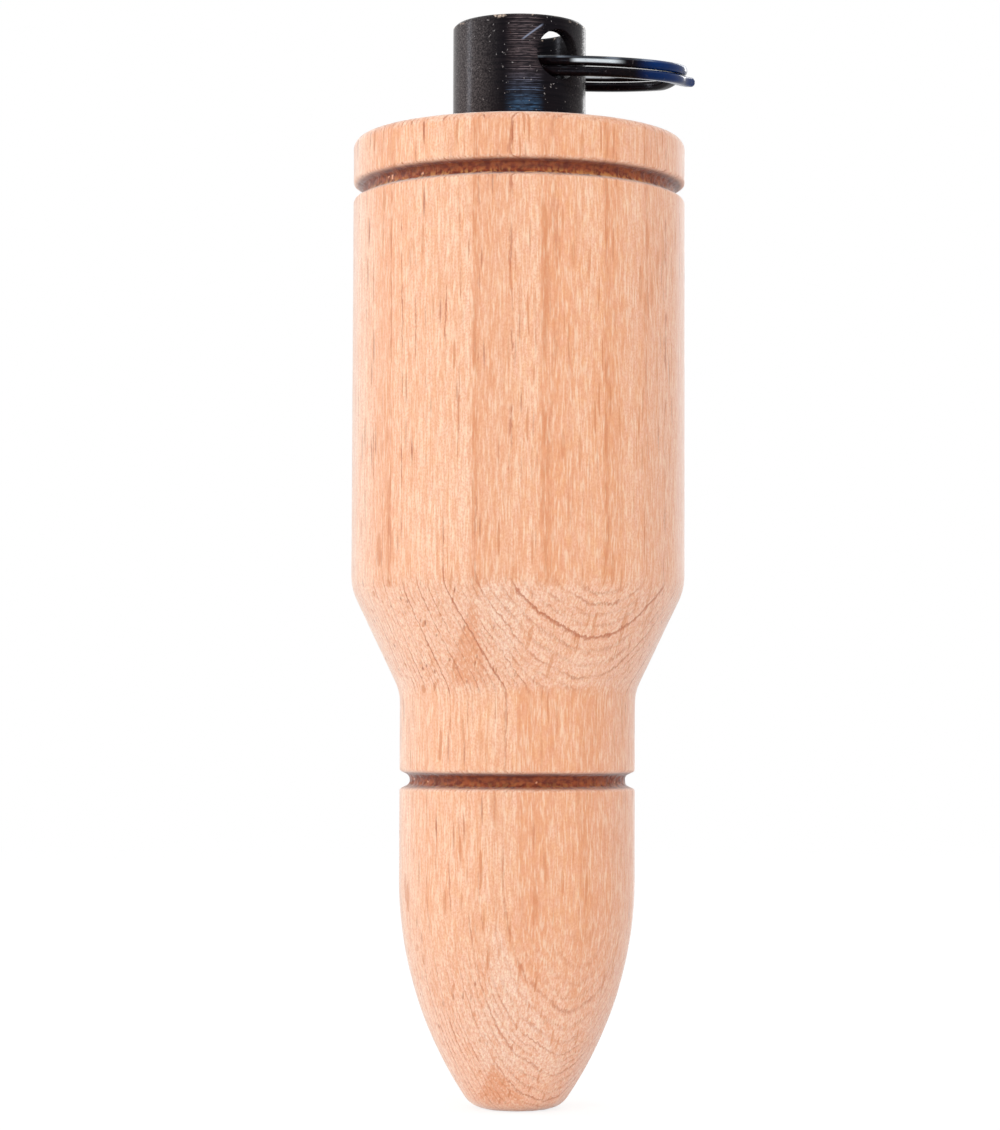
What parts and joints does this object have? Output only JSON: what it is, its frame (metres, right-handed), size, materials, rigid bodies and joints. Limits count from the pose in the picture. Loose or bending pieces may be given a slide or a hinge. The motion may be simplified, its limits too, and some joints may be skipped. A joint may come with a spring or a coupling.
{
  "type": "deer call",
  "caption": "Wooden deer call turned in the shape of a rifle cartridge, with a black outlet tube that holds a metal reed set and a split ring for a lanyard.",
  "frame": {"origin": "centre of the blow hole at the flat of the bullet's tip", "axes": "+Z along the barrel from the tip to the outlet tube, -Y toward the viewer of the picture, +X to the viewer's right"},
  "size_m": [0.0261, 0.025, 0.0809],
  "materials": {
    "beech": "sanded beech under a thin matt oil, with burnt grooves",
    "black_steel": "blackened turned steel, satin, with fine lathe lines",
    "black_wire": "blackened spring wire, glossy",
    "trough_brass": "plain machined brass",
    "reed_bronze": "rolled bronze strip",
    "cork": "fine cork",
    "seal_rubber": "matt rubber"
  },
  "bodies": {
    "barrel": {"barrel": "beech"},
    "insert": {"outlet_tube": "black_steel", "reed_trough": "trough_brass", "reed_wedge": "cork", "seal_ring_upper": "seal_rubber", "seal_ring_lower": "seal_rubber"},
    "reed": {"reed_tongue": "reed_bronze"},
    "ring": {"split_ring": "black_wire"}
  },
  "joints": [
    {"name": "insert_pull", "type": "slide", "parent": "barrel", "child": "insert", "axis": [0, 0, 1], "range_m": [0, 0.045]},
    {"name": "reed_beat", "type": "hinge", "parent": "insert", "child": "reed", "pos_m": [0, 0, 0.05125], "axis": [-1, 0, 0], "range_deg": [-1, 2.5], "stiffness_Nm_per_rad": 0.002},
    {"name": "ring_swing", "type": "hinge", "parent": "insert", "child": "ring", "pos_m": [0, 0, 0.0781], "axis": [0.6018, -0.7986, 0], "range_deg": [-22.5, 197]}
  ]
}
